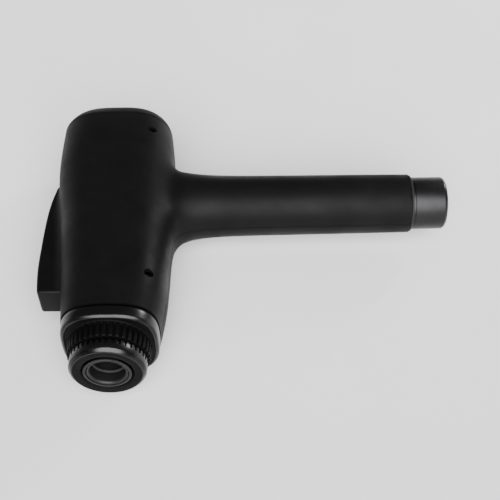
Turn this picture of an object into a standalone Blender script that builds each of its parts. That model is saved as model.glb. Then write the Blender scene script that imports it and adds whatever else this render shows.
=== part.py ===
"""A pistol-shaped percussion massage gun, lying on its right side, without a head fitted.

Metres, +Z up. Every part is modelled in the gun's own axes, which meet where the barrel's axis
crosses the handle's axis: X runs down the handle, -Y runs towards the nose, and Z runs from the
gun's right side to its left side. The empty "gun_frame" then stands the gun on its right side.
"""
import math

import bmesh
import bpy
from mathutils import Matrix, Vector

# Driving dimensions
TOP_X = -0.0435            # top line of the barrel's rear part
SEAM_Y = 0.0585            # seam between the shells and the rear cap
REAR_Y = 0.0760            # rearmost point of the rear cap
COLLAR_REAR = 0.0995       # distances forward of the handle's axis, towards the nose
COLLAR_FRONT = 0.1080
VENT_FRONT = 0.1170
NOSE_FRONT = 0.1260
HANDLE_END = 0.1815        # end of the shells at the handle's foot
CAP_END = 0.2045           # end of the handle cap
HALF_THICKNESS = 0.0310
FRONT_HALF = 0.0276        # half width of the barrel where the collar sits
WALL = 0.0024
GAP = 0.0003               # clearance between neighbouring pieces
HALF_GAP = GAP / 2

# Top spine: an arched strip, highest at its middle
SPINE_TOP = -0.0462
SPINE_MIDDLE = -0.0360
SPINE_ARCH = 0.0027        # how far it drops over SPINE_REACH, either way from there
SPINE_REACH = 0.0420
SPINE_FRONT = -0.0765
SPINE_REAR = 0.0115
SPINE_HALF = 0.0095
SPINE_FLOOR = -0.0265

# Nose
SQUARENESS = 2.8           # superellipse exponent of the collar
VENT_RIBS = 40
VENT_R = 0.0240
VENT_INNER_R = 0.0172
NOSE_R = 0.0215

# Crank drive
STROKE = 0.0120
CRANK_R = STROKE / 2
CRANK_Y = -0.0140          # crank centre, on the barrel's mid plane
ROD_LENGTH = 0.0440
CRANK_PIN_Y = CRANK_Y + CRANK_R
WRIST_Y = CRANK_PIN_Y - ROD_LENGTH
PISTON_R = 0.0135
PISTON_BODY_REAR = 0.0620  # forward distance where the round piston ends and its fork starts
SOCKET_R = 0.0098
SOCKET_DEPTH = 0.0270
BORE_R = PISTON_R + 0.0006

# Controls in the middle of the rear face
CONTROL_X = -0.0060
BUTTON_R = 0.0070
LIGHT_R = 0.0105

# Handle
CELL_R = 0.0106
CELL_LENGTH = 0.0700
CAP_R = 0.0166
CAP_WALL = 0.0018
INLET_Y = -0.0078
INLET_R = 0.0042
CHARGE_LIGHT_R = 0.0011
CHARGE_LIGHT_Z = 0.0086
SWITCH_Y = 0.0062
SWITCH_HALF_Y = 0.0040
SWITCH_HALF_Z = 0.0064
SWITCH_WALL = 0.0010
ROCKER_TILT = 10.0         # degrees either side of level

FINE = 36                  # sides of the large, medium and small round pieces
MEDIUM = 24
SMALL = 16
MERGE = 0.00001            # seam distance of turned pieces
FAR = 0.3                  # beyond the whole gun, for cutters that halve it

PARTS = "massage_gun"
CUTTERS = "massage_gun_cutters"


def clear_scene():
    for obj in list(bpy.data.objects):
        bpy.data.objects.remove(obj, do_unlink=True)
    for name in (PARTS, CUTTERS):
        collection = bpy.data.collections.new(name)
        bpy.context.scene.collection.children.link(collection)


def finish(name, colour, roughness, metallic=0.0):
    material = bpy.data.materials.new(name)
    material.use_nodes = True
    shader = material.node_tree.nodes["Principled BSDF"]
    shader.inputs["Base Color"].default_value = (*colour, 1.0)
    shader.inputs["Roughness"].default_value = roughness
    shader.inputs["Metallic"].default_value = metallic
    return material


def make_materials():
    return {
        "casing": finish("casing", (0.022, 0.022, 0.024), 0.55),
        "spine": finish("spine", (0.018, 0.018, 0.019), 0.5),
        "collar": finish("collar", (0.09, 0.09, 0.095), 0.3, 0.9),
        "vent": finish("vent", (0.012, 0.012, 0.012), 0.6),
        "cap": finish("cap", (0.1, 0.1, 0.105), 0.35, 0.9),
        "steel": finish("steel", (0.6, 0.6, 0.6), 0.3, 1.0),
        "casting": finish("casting", (0.5, 0.5, 0.52), 0.45, 1.0),
        "bronze": finish("bronze", (0.5, 0.32, 0.12), 0.4, 1.0),
        "copper": finish("copper", (0.6, 0.25, 0.12), 0.35, 1.0),
        "rubber": finish("rubber", (0.015, 0.015, 0.015), 0.85),
        "circuit": finish("circuit", (0.01, 0.08, 0.03), 0.5),
        "cell": finish("cell", (0.02, 0.12, 0.3), 0.4),
        "button": finish("button", (0.03, 0.03, 0.03), 0.4),
        "light": finish("light", (0.7, 0.75, 0.8), 0.3),
        "inlet": finish("inlet", (0.02, 0.02, 0.02), 0.5),
    }


def add_object(name, mesh, material, parent, collection=PARTS):
    obj = bpy.data.objects.new(name, mesh)
    bpy.data.collections[collection].objects.link(obj)
    obj.parent = parent
    if material is not None:
        mesh.materials.append(material)
    if collection == CUTTERS:
        obj.hide_render = True
        obj.display_type = "WIRE"
    return obj


def mesh_of(name, bm):
    mesh = bpy.data.meshes.new(name)
    bm.to_mesh(mesh)
    bm.free()
    return mesh


def smooth(obj, degrees=40.0):
    obj.data.shade_smooth()
    obj.data.set_sharp_from_angle(angle=math.radians(degrees))


def empty(name, location, parent):
    obj = bpy.data.objects.new(name, None)
    bpy.data.collections[PARTS].objects.link(obj)
    obj.parent = parent
    obj.location = location
    return obj


def facing(axis):
    """Rotation that lays a shape's own Z along the nose direction, the handle or the gun's Z."""
    right_angle = math.radians(90.0)
    turns = {"nose": (right_angle, 0.0, 0.0), "handle": (0.0, right_angle, 0.0), "side": (0.0, 0.0, 0.0)}
    return turns[axis]


def turned(name, profile, material, parent, axis="side", at=(0.0, 0.0, 0.0), steps=FINE, collection=PARTS,
           closed=True):
    """A turned solid. The profile of (radius, height) points runs down the outer side and back up."""
    bm = bmesh.new()
    points = [bm.verts.new((radius, 0.0, height)) for radius, height in profile]
    for first, second in zip(points, points[1:]):
        bm.edges.new((first, second))
    if closed:
        bm.edges.new((points[-1], points[0]))
    obj = add_object(name, mesh_of(name, bm), material, parent, collection)
    obj.location = at
    obj.rotation_euler = facing(axis)
    screw = obj.modifiers.new("Turn", "SCREW")
    screw.axis = "Z"
    screw.steps = steps
    screw.render_steps = steps
    screw.use_merge_vertices = True
    screw.merge_threshold = MERGE
    screw.use_smooth_shade = True
    return obj


def ring(name, inner, outer, low, high, material, parent, axis="side", at=(0.0, 0.0, 0.0), steps=FINE, edge=0.0,
         collection=PARTS):
    """A turned ring between two radii and two heights, with its outer edges chamfered."""
    profile = [(outer, low), (inner, low), (inner, high), (outer, high)]
    if edge > 0.0:
        profile = [(outer, low + edge), (outer - edge, low), (inner, low), (inner, high), (outer - edge, high),
                   (outer, high - edge)]
    return turned(name, profile, material, parent, axis, at, steps, collection)


def disc(name, radius, low, high, material, parent, axis="side", at=(0.0, 0.0, 0.0), steps=FINE, edge=0.0,
         collection=PARTS):
    """A solid turned disc or rod with its edges chamfered."""
    profile = [(0.0, high), (radius, high), (radius, low), (0.0, low)]
    if edge > 0.0:
        profile = [(0.0, high), (radius - edge, high), (radius, high - edge), (radius, low + edge),
                   (radius - edge, low), (0.0, low)]
    return turned(name, profile, material, parent, axis, at, steps, collection, closed=False)


def box(name, low, high, material, parent, edge=0.0, collection=PARTS):
    """A block between two corners with its edges rounded."""
    low, high = Vector(low), Vector(high)
    bm = bmesh.new()
    bmesh.ops.create_cube(bm, size=1.0)
    bmesh.ops.scale(bm, vec=high - low, verts=bm.verts)
    obj = add_object(name, mesh_of(name, bm), material, parent, collection)
    obj.location = (low + high) / 2
    if edge > 0.0:
        bevel = obj.modifiers.new("Edges", "BEVEL")
        bevel.width = edge
        bevel.segments = 2
        bevel.limit_method = "ANGLE"
    return obj


def swept(name, corners, sweep, material, parent):
    """A flat outline swept straight along one direction."""
    bm = bmesh.new()
    face = bm.faces.new([bm.verts.new(corner) for corner in corners])
    extruded = bmesh.ops.extrude_face_region(bm, geom=[face])["geom"]
    far_side = [item for item in extruded if isinstance(item, bmesh.types.BMVert)]
    bmesh.ops.translate(bm, verts=far_side, vec=sweep)
    bmesh.ops.recalc_face_normals(bm, faces=bm.faces)
    return add_object(name, mesh_of(name, bm), material, parent)


def boolean(obj, other, operation):
    modifier = obj.modifiers.new(f"{operation.title()} {other.name}", "BOOLEAN")
    modifier.object = other
    modifier.operation = operation
    modifier.solver = "EXACT"


def cut(obj, *cutters):
    for cutter in cutters:
        boolean(obj, cutter, "DIFFERENCE")


def join(obj, *others):
    for other in others:
        boolean(obj, other, "UNION")


# Casing -----------------------------------------------------------------------------------------

# Stations along the barrel: Y, X of the top side, X of the handle side, half thickness. The sides are
# hollowed by 0.3 mm lengthwise, so that the barrel lies on two lands and doesn't rock.
WAIST = HALF_THICKNESS - 0.0003
BARREL = (
    (SEAM_Y, TOP_X, 0.0294, 0.0300),
    (0.0440, TOP_X, 0.0310, HALF_THICKNESS + 0.00032),
    (0.0210, TOP_X + 0.0004, 0.0318, WAIST),
    (-0.0020, -0.0400, 0.0318, WAIST),
    (-0.0260, -0.0366, 0.0316, WAIST),
    (-0.0520, -0.0331, 0.0313, HALF_THICKNESS + 0.00020),
    (-0.0760, -0.0302, 0.0306, 0.0305),
    (-0.0900, -0.0287, 0.0290, 0.0290),
    (-COLLAR_REAR + GAP, -FRONT_HALF, FRONT_HALF, FRONT_HALF),
)
HANDLE_ROOT = 3            # the middle one of the three stations that the handle grows from
SHOULDER = 0.60            # how square the barrel's section is

# Stations down the handle: X, radius
HANDLE = (
    (0.0395, 0.0222),
    (0.0540, 0.0194),
    (0.1100, 0.0191),
    (0.1640, 0.0188),
    (HANDLE_END - GAP, 0.0186),
)
OCTAGON = (4.0 + 2.0 * math.cos(math.radians(45.0))) / 6.0     # smoothed radius of an eight-sided cage


def squircle_cage(y, x_top, x_handle, half_z):
    """Twelve cage points round the barrel, starting at the middle of the handle side."""
    centre = (x_top + x_handle) / 2
    half_x = (x_handle - x_top) / 2
    quarter = [(1.0, 0.0), (1.0, SHOULDER), (SHOULDER, 1.0)]
    points = []
    for turn in range(4):
        for u, v in quarter:
            for _ in range(turn):
                u, v = -v, u
            points.append(Vector((centre + half_x * u, y, half_z * v)))
    return points


def bridge(bm, first, second):
    """Quads between two closed loops of vertices."""
    count = len(first)
    for i in range(count):
        j = (i + 1) % count
        bm.faces.new((first[i], first[j], second[j], second[i]))


def shell_surface():
    """The open outer surface of both shells as a coarse cage, with the handle grown from its side."""
    bm = bmesh.new()
    loops = [[bm.verts.new(point) for point in squircle_cage(*station)] for station in BARREL]
    count = len(loops[0])
    for row in range(len(loops) - 1):
        for i in range(count):
            at_root = row in (HANDLE_ROOT - 1, HANDLE_ROOT) and i in (0, count - 1)
            if not at_root:
                j = (i + 1) % count
                bm.faces.new((loops[row][i], loops[row][j], loops[row + 1][j], loops[row + 1][i]))
    rear, middle, front = loops[HANDLE_ROOT - 1], loops[HANDLE_ROOT], loops[HANDLE_ROOT + 1]
    root = [rear[0], rear[1], middle[1], front[1], front[0], front[-1], middle[-1], rear[-1]]
    bm.verts.remove(middle[0])
    for x, radius in HANDLE:
        reach = radius / OCTAGON
        angles = [math.radians(45.0 * i) for i in range(8)]
        loop = [bm.verts.new((x, reach * math.cos(a), reach * math.sin(a))) for a in angles]
        bridge(bm, root, loop)
        root = loop
    bmesh.ops.recalc_face_normals(bm, faces=bm.faces)
    return mesh_of("shells", bm)


def skin(obj, levels, thickness):
    """Smooth the cage and give it a wall on its inner side."""
    subdivision = obj.modifiers.new("Smooth", "SUBSURF")
    subdivision.levels = levels
    subdivision.render_levels = levels
    wall = obj.modifiers.new("Wall", "SOLIDIFY")
    wall.thickness = thickness
    wall.offset = -1.0
    wall.use_even_offset = True


# Case screws: X, Y, and the height of the seat under the screw's head
CASE_SCREWS = (
    ("case_screw_front", 0.0219, -0.0765, 0.0170),
    ("case_screw_rear", 0.0179, 0.0441, 0.0212),
)
SCREW_HEAD_R = 0.0023
SCREW_HEAD_HEIGHT = 0.0022
SCREW_SHANK_R = 0.0013
BOSS_R = 0.0042


def make_shells(frame, mats):
    mesh = shell_surface()
    spine_slot = box("spine_slot", (TOP_X - 0.01, SPINE_FRONT - GAP, -SPINE_HALF - GAP),
                     (-0.0260, SPINE_REAR + GAP, SPINE_HALF + GAP), None, frame, collection=CUTTERS)
    for name, side in (("left_shell", 1.0), ("right_shell", -1.0)):
        shell = add_object(name, mesh.copy(), mats["casing"], frame)
        skin(shell, 1, WALL)
        low, high = sorted((side * HALF_GAP, -side * FAR))
        half = box(f"{name}_split", (-FAR, -FAR, low), (FAR, FAR, high), None, frame, collection=CUTTERS)
        cut(shell, half)
        for screw, x, y, seat in CASE_SCREWS:
            low, high = sorted((side * GAP, side * (seat + SCREW_HEAD_HEIGHT)))
            boss = disc(f"{name}_{screw}_boss", BOSS_R, low, high, None, frame, at=(x, y, 0.0), steps=SMALL,
                        collection=CUTTERS)
            join(shell, boss)
        cut(shell, spine_slot)
        for screw, x, y, seat in CASE_SCREWS:
            shank = disc(f"{name}_{screw}_bore", SCREW_SHANK_R + GAP, -0.0150, seat + 0.001, None, frame,
                         at=(x, y, 0.0), steps=SMALL, collection=CUTTERS)
            cut(shell, shank)
            if side > 0:
                recess = disc(f"{screw}_recess", SCREW_HEAD_R + GAP, seat, 0.05, None, frame, at=(x, y, 0.0),
                              steps=SMALL, collection=CUTTERS)
                cut(shell, recess)
        smooth(shell)
    for screw, x, y, seat in CASE_SCREWS:
        top = seat + SCREW_HEAD_HEIGHT
        profile = [(0.0, top), (SCREW_HEAD_R, top), (SCREW_HEAD_R, seat + GAP), (SCREW_SHANK_R, seat + GAP),
                   (SCREW_SHANK_R, -0.0140), (0.0, -0.0147)]
        turned(screw, profile, mats["steel"], frame, at=(x, y, 0.0), steps=SMALL, closed=False)


# Rings of the rear cap's cage: Y, and size against the section at the seam. The first two are all
# but straight, so that the wall ends square to the seam.
REAR_CAP_RINGS = (
    (SEAM_Y + GAP, 1.0),
    (0.0604, 0.998),
    (0.0655, 0.945),
    (0.0710, 0.840),
    (0.0748, 0.650),
    (REAR_Y, 0.370),
)


def make_rear_cap(frame, mats):
    _, x_top, x_handle, half_z = BARREL[0]
    centre = (x_top + x_handle) / 2
    half_x = (x_handle - x_top) / 2
    bm = bmesh.new()
    previous = None
    for y, size in REAR_CAP_RINGS:
        points = squircle_cage(y, centre - half_x * size, centre + half_x * size, half_z * size)
        loop = [bm.verts.new(point) for point in points]
        if previous:
            bridge(bm, previous, loop)
        previous = loop
    pole = bm.verts.new((centre, REAR_Y, 0.0))
    for i, vertex in enumerate(previous):
        bm.faces.new((vertex, previous[(i + 1) % len(previous)], pole))
    bmesh.ops.recalc_face_normals(bm, faces=bm.faces)
    cap = add_object("rear_cap", mesh_of("rear_cap", bm), mats["casing"], frame)
    skin(cap, 1, WALL)
    outside, inside = -REAR_Y - 0.0240, -REAR_Y + 0.0160
    window = disc("control_window", LIGHT_R + GAP, outside, inside, None, frame, "nose", (CONTROL_X, 0.0, 0.0),
                  steps=MEDIUM, collection=CUTTERS)
    cut(cap, window)
    smooth(cap)


def make_controls(frame, mats):
    """Power button, its light ring, the board behind them and the switch that the button presses."""
    at = (CONTROL_X, 0.0, 0.0)
    ring("light_ring", BUTTON_R + GAP, LIGHT_R, -0.0757, -0.0735, mats["light"], frame, "nose", at, MEDIUM, 0.0002)
    axis = empty("button_axis", at, frame)
    stem = 0.0022
    flange_r = 0.0084
    profile = [(0.0, -0.0658), (stem, -0.0658), (stem, -0.0717), (flange_r, -0.0717), (flange_r, -0.0729),
               (BUTTON_R, -0.0729), (BUTTON_R, -0.0754), (BUTTON_R - 0.0005, -0.0759), (0.0, -0.0759)]
    turned("power_button", profile, mats["button"], axis, "nose", steps=MEDIUM, closed=False)
    box("button_switch", (CONTROL_X - 0.003, 0.0592, -0.003), (CONTROL_X + 0.003, 0.0644, 0.003), mats["steel"],
        frame, 0.0003)
    box("control_board", (CONTROL_X - 0.026, 0.0573, -0.021), (CONTROL_X + 0.026, 0.0589, 0.021),
        mats["circuit"], frame)


# Top spine ---------------------------------------------------------------------------------------

def spine_outline():
    """Side view of the spine in X and Y: an arched top over a straight floor."""
    steps = 14
    outline = [(SPINE_FLOOR, SPINE_REAR), (SPINE_FLOOR, SPINE_FRONT)]
    for i in range(steps + 1):
        y = SPINE_FRONT + (SPINE_REAR - SPINE_FRONT) * i / steps
        outline.append((SPINE_TOP + SPINE_ARCH * abs((y - SPINE_MIDDLE) / SPINE_REACH) ** 3, y))
    return outline


def make_spine(frame, mats):
    """The raised strip along the top of the barrel, hollow and open on its inner side."""
    corners = [(x, y, -SPINE_HALF) for x, y in spine_outline()]
    spine = swept("top_spine", corners, (0.0, 0.0, 2 * SPINE_HALF), mats["spine"], frame)
    bevel = spine.modifiers.new("Edges", "BEVEL")
    bevel.width = 0.0020
    bevel.segments = 2
    bevel.limit_method = "ANGLE"
    bevel.angle_limit = math.radians(40.0)
    wall = 0.0025
    hollow = box("spine_hollow", (TOP_X + wall, SPINE_FRONT + wall, -SPINE_HALF + wall),
                 (SPINE_FLOOR + 0.01, SPINE_REAR - wall, SPINE_HALF - wall), None, frame, collection=CUTTERS)
    cut(spine, hollow)
    smooth(spine)


# Nose --------------------------------------------------------------------------------------------

def superellipse(half, exponent, count, y):
    """Points round a squared circle in the plane of Y."""
    points = []
    for i in range(count):
        angle = math.tau * i / count
        c, s = math.cos(angle), math.sin(angle)
        reach = half / (abs(c) ** exponent + abs(s) ** exponent) ** (1.0 / exponent)
        points.append((reach * c, y, reach * s))
    return points


def loft(name, loops, material, parent, collection=PARTS):
    """A closed band through unlike sections, whose last section meets the first."""
    bm = bmesh.new()
    rows = [[bm.verts.new(point) for point in loop] for loop in loops]
    for row, following in zip(rows, rows[1:] + rows[:1]):
        bridge(bm, row, following)
    bmesh.ops.recalc_face_normals(bm, faces=bm.faces)
    obj = add_object(name, mesh_of(name, bm), material, parent, collection)
    smooth(obj)
    return obj


COLLAR_OUTER = FRONT_HALF - 0.0002
COLLAR_RIM = COLLAR_OUTER - 0.0022     # inner edge of the collar's front rim
RECESS = 0.0012                        # depth of the recess inside that rim


def make_collar(frame, mats):
    """Band round the front of the shells, chamfered both ways, with a recess inside its front rim."""
    edge = 0.0012
    taper = 0.0004
    inner = VENT_R + GAP
    sections = (
        (COLLAR_OUTER - edge, SQUARENESS, -COLLAR_REAR - GAP),
        (COLLAR_OUTER, SQUARENESS, -COLLAR_REAR - GAP - edge),
        (COLLAR_OUTER - taper, SQUARENESS, -COLLAR_FRONT + edge),
        (COLLAR_OUTER - taper - edge, SQUARENESS, -COLLAR_FRONT),
        (COLLAR_RIM, SQUARENESS, -COLLAR_FRONT),
        (COLLAR_RIM, SQUARENESS, -COLLAR_FRONT + RECESS),
        (inner, 2.0, -COLLAR_FRONT + RECESS),
        (inner, 2.0, -COLLAR_REAR - GAP),
    )
    loops = [superellipse(half, power, 2 * VENT_RIBS, y) for half, power, y in sections]
    loft("collar_ring", loops, mats["collar"], frame)


def fluted(radius, depth, ribs, y):
    """Points round a circle in the plane of Y, every second one drawn in to make a groove."""
    points = []
    for i in range(2 * ribs):
        angle = math.pi * i / ribs
        reach = radius - depth * (i % 2)
        points.append((reach * math.cos(angle), y, reach * math.sin(angle)))
    return points


def make_vent(frame, mats):
    """Neck with a flange in the collar's recess, and ribs from there to the nose ring."""
    count = 2 * VENT_RIBS
    rear = -COLLAR_REAR + 0.0095
    groove = 0.0009
    flange_rear = -COLLAR_FRONT + RECESS - GAP
    flange_front = -COLLAR_FRONT + GAP
    sections = [
        superellipse(VENT_R - GAP, 2.0, count, rear),
        superellipse(VENT_R - GAP, 2.0, count, flange_rear),
        superellipse(COLLAR_RIM - GAP, SQUARENESS, count, flange_rear),
        superellipse(COLLAR_RIM - GAP, SQUARENESS, count, flange_front),
        fluted(VENT_R - 0.0004, groove, VENT_RIBS, flange_front),
        fluted(VENT_R - 0.0010, groove, VENT_RIBS, -VENT_FRONT),
        superellipse(VENT_INNER_R, 2.0, count, -VENT_FRONT),
        superellipse(VENT_INNER_R, 2.0, count, rear),
    ]
    loft("vent_nose", sections, mats["vent"], frame)


def make_nose(frame, mats):
    low, high = VENT_FRONT + GAP, NOSE_FRONT
    profile = [(NOSE_R, low), (NOSE_R - 0.0010, low), (BORE_R + 0.0022, low), (BORE_R + 0.0022, high - 0.0035),
               (BORE_R, high - 0.0035), (BORE_R, high), (NOSE_R - 0.0018, high), (NOSE_R - 0.0004, high - 0.0014)]
    turned("nose_ring", profile, mats["collar"], frame, "nose")
    ring("wiper_seal", PISTON_R + GAP, BORE_R + 0.0018, low + 0.0010, high - 0.0040, mats["rubber"], frame, "nose",
         steps=MEDIUM)
    ring("guide_bush", PISTON_R + GAP, VENT_INNER_R - GAP, 0.0990, VENT_FRONT, mats["bronze"], frame, "nose",
         steps=FINE, edge=0.0004)


# Drive -------------------------------------------------------------------------------------------

PLATE_LOW = -0.0110
PLATE_HIGH = -0.0081
SLEEVE_REAR = 0.0660
SLEEVE_FRONT = 0.0880
SLEEVE_R = 0.0174
FORK_HALF_Z = 0.0070
FORK_HALF_X = 0.0080
ROD_HALF = 0.0022
PIN_R = 0.0030
BEARING_R = 0.0080


def make_drive_frame(frame, mats):
    """Cast plate that holds the motor, with the sleeve that the piston runs in."""
    casting = box("drive_frame", (-0.0210, -0.0600, PLATE_LOW), (0.0210, 0.0160, PLATE_HIGH), mats["casting"],
                  frame, 0.0008)
    for side in (-1.0, 1.0):
        low, high = sorted((side * 0.0128, side * 0.0172))
        arm = box(f"frame_arm_{low:.3f}", (low, -0.0720, PLATE_LOW), (high, -0.0590, PLATE_HIGH), None, frame,
                  collection=CUTTERS)
        join(casting, arm)
    sleeve = ring("frame_sleeve", PISTON_R + 0.0006, SLEEVE_R, SLEEVE_REAR, SLEEVE_FRONT, None, frame, "nose",
                  steps=MEDIUM, collection=CUTTERS)
    join(casting, sleeve)
    seat = disc("bearing_seat", BEARING_R + GAP, -0.02, 0.0, None, frame, at=(0.0, CRANK_Y, 0.0), steps=MEDIUM,
                collection=CUTTERS)
    cut(casting, seat)
    smooth(casting)
    ring("front_damper", SLEEVE_R + GAP, 0.0235, 0.0814, 0.0876, mats["rubber"], frame, "nose", steps=MEDIUM,
         edge=0.0008)
    box("rear_damper", (-0.0120, 0.0072, -0.0240), (0.0120, 0.0156, PLATE_LOW - GAP), mats["rubber"], frame, 0.0010)


def make_motor(frame, mats):
    """Outer-rotor motor under the plate: the bell, shaft and crank wheel turn together."""
    at = (0.0, CRANK_Y, 0.0)
    shaft_r = 0.0020
    stator_r = 0.0162
    teeth = 9
    core = ring("stator", 0.0074, 0.0110, -0.0222, -0.0118, mats["copper"], frame, at=at, steps=FINE - 4)
    for i in range(teeth):
        angle = math.tau * i / teeth
        tooth = box(f"stator_tooth_{i}", (0.0100, -0.0021, -0.0216), (stator_r, 0.0021, -0.0124), None, core,
                    collection=CUTTERS)
        tooth.location = Matrix.Rotation(angle, 3, "Z") @ tooth.location
        tooth.rotation_euler = (0.0, 0.0, angle)
        join(core, tooth)
    ring("upper_bearing", shaft_r + GAP, BEARING_R, PLATE_LOW, PLATE_HIGH, mats["steel"], frame, at=at,
         steps=MEDIUM, edge=0.0003)
    ring("lower_bearing", shaft_r + GAP, 0.0071, -0.0210, -0.0170, mats["steel"], frame, at=at, steps=MEDIUM,
         edge=0.0003)
    axis = empty("motor_axis", at, frame)
    bell_r = 0.0195
    profile = [(bell_r, -0.0118), (bell_r, -0.0228), (bell_r - 0.0012, -0.0240), (0.0030, -0.0240),
               (0.0030, -0.0226), (0.0168, -0.0226), (0.0168, -0.0118)]
    turned("rotor_bell", profile, mats["steel"], axis, steps=FINE)
    disc("motor_shaft", shaft_r, -0.0236, -0.0041, mats["steel"], axis, steps=SMALL, edge=0.0003)
    wheel = disc("crank_wheel", 0.0110, -0.0075, -0.0033, mats["casting"], axis, steps=MEDIUM, edge=0.0003)
    weight = disc("counterweight", 0.0165, -0.0075, -0.0033, None, axis, steps=MEDIUM, collection=CUTTERS)
    half = box("counterweight_split", (-0.03, -0.0010, -0.02), (0.03, 0.03, 0.02), None, axis, collection=CUTTERS)
    cut(weight, half)
    join(wheel, weight)
    bore = disc("crank_bore", shaft_r + GAP, -0.02, 0.0, None, axis, steps=SMALL, collection=CUTTERS)
    cut(wheel, bore)
    smooth(wheel)


def make_piston(frame, mats):
    """Piston with the head socket in its front and a fork for the connecting rod at its rear."""
    piston = disc("piston", PISTON_R, PISTON_BODY_REAR, NOSE_FRONT, mats["steel"], frame, "nose", steps=FINE,
                  edge=0.0008)
    fork = box("piston_fork", (-FORK_HALF_X, -PISTON_BODY_REAR - 0.002, -FORK_HALF_Z),
               (FORK_HALF_X, WRIST_Y + 0.0062, FORK_HALF_Z), None, frame, collection=CUTTERS)
    join(piston, fork)
    slot = box("piston_slot", (-0.03, WRIST_Y - 0.0084, -ROD_HALF - 0.0004), (0.03, 0.0, ROD_HALF + 0.0004), None,
               frame, collection=CUTTERS)
    pin_bore = disc("wrist_bore", PIN_R + GAP, -0.02, 0.02, None, frame, at=(0.0, WRIST_Y, 0.0), steps=SMALL,
                    collection=CUTTERS)
    socket = disc("socket_bore", SOCKET_R + 0.0018, NOSE_FRONT - SOCKET_DEPTH - 0.0020, 0.2, None, frame, "nose",
                  steps=MEDIUM, collection=CUTTERS)
    cut(piston, slot, pin_bore, socket)
    smooth(piston)
    disc("wrist_pin", PIN_R, -FORK_HALF_Z + 0.0004, FORK_HALF_Z - 0.0004, mats["steel"], frame,
         at=(0.0, WRIST_Y, 0.0), steps=SMALL, edge=0.0003)
    groove_low, groove_high = 0.1172, 0.1196
    rear, front = NOSE_FRONT - SOCKET_DEPTH, NOSE_FRONT - 0.0002
    outer = SOCKET_R + 0.0015
    profile = [(outer, rear), (SOCKET_R, rear), (SOCKET_R, groove_low), (SOCKET_R + 0.0009, groove_low),
               (SOCKET_R + 0.0009, groove_high), (SOCKET_R, groove_high), (SOCKET_R, front - 0.0006),
               (SOCKET_R + 0.0006, front), (outer, front)]
    turned("socket_sleeve", profile, mats["inlet"], frame, "nose", steps=MEDIUM)
    make_o_ring(frame, mats, (groove_low + groove_high) / 2)


def make_o_ring(frame, mats, forward):
    section = 0.0009
    middle = SOCKET_R + 0.0009 - GAP - section
    profile = []
    sides = 8
    for i in range(sides):
        angle = math.tau * i / sides
        profile.append((middle + section * math.cos(angle), forward - section * math.sin(angle)))
    turned("socket_o_ring", profile, mats["rubber"], frame, "nose", steps=MEDIUM)


def make_rod(frame, mats):
    """Connecting rod, hung on the wrist pin, with the crank pin and its bearing in the big end."""
    axis = empty("rod_axis", (0.0, WRIST_Y, 0.0), frame)
    big = (0.0, ROD_LENGTH, 0.0)
    rod = disc("connecting_rod", 0.0056, -ROD_HALF, ROD_HALF, mats["casting"], axis, steps=MEDIUM)
    eye = disc("big_end_eye", 0.0092, -ROD_HALF, ROD_HALF, None, axis, at=big, steps=MEDIUM, collection=CUTTERS)
    shank = box("rod_shank", (-0.0036, 0.002, -ROD_HALF), (0.0036, ROD_LENGTH - 0.004, ROD_HALF), None, axis,
                collection=CUTTERS)
    join(rod, eye, shank)
    small_bore = disc("small_end_bore", PIN_R + GAP, -0.01, 0.01, None, axis, steps=SMALL, collection=CUTTERS)
    big_bore = disc("big_end_bore", 0.0068, -0.01, 0.01, None, axis, at=big, steps=MEDIUM, collection=CUTTERS)
    cut(rod, small_bore, big_bore)
    smooth(rod)
    ring("big_end_bearing", PIN_R + GAP, 0.0065, -ROD_HALF - 0.0002, ROD_HALF + 0.0002, mats["steel"], axis, at=big,
         steps=MEDIUM, edge=0.0003)
    disc("crank_pin", PIN_R, -0.0029, 0.0040, mats["steel"], axis, at=big, steps=SMALL, edge=0.0003)


# Handle ------------------------------------------------------------------------------------------

def make_battery(frame, mats):
    """Two cells end to end in a half round cradle, with their board on the left side."""
    start = 0.0340
    for i in range(2):
        low = start + i * (CELL_LENGTH + 0.0016)
        profile = [(0.0, low + CELL_LENGTH), (0.0040, low + CELL_LENGTH), (0.0044, low + CELL_LENGTH - 0.0008),
                   (CELL_R - 0.0008, low + CELL_LENGTH - 0.0008), (CELL_R, low + CELL_LENGTH - 0.0016),
                   (CELL_R, low + 0.0006), (CELL_R - 0.0006, low), (0.0, low)]
        turned(f"battery_cell_{i + 1}", profile, mats["cell"], frame, "handle", steps=MEDIUM, closed=False)
    high = start + 2 * CELL_LENGTH + 0.0016
    cradle = ring("battery_cradle", CELL_R + GAP, CELL_R + 0.0018, start - 0.001, high + 0.001, mats["inlet"],
                  frame, "handle", steps=MEDIUM)
    half = box("cradle_split", (0.0, -0.03, -0.0005), (FAR, 0.03, 0.03), None, frame, collection=CUTTERS)
    cut(cradle, half)
    box("battery_board", (0.0700, -0.0070, CELL_R + 0.0012), (0.1500, 0.0070, CELL_R + 0.0026), mats["circuit"],
        frame)


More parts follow.
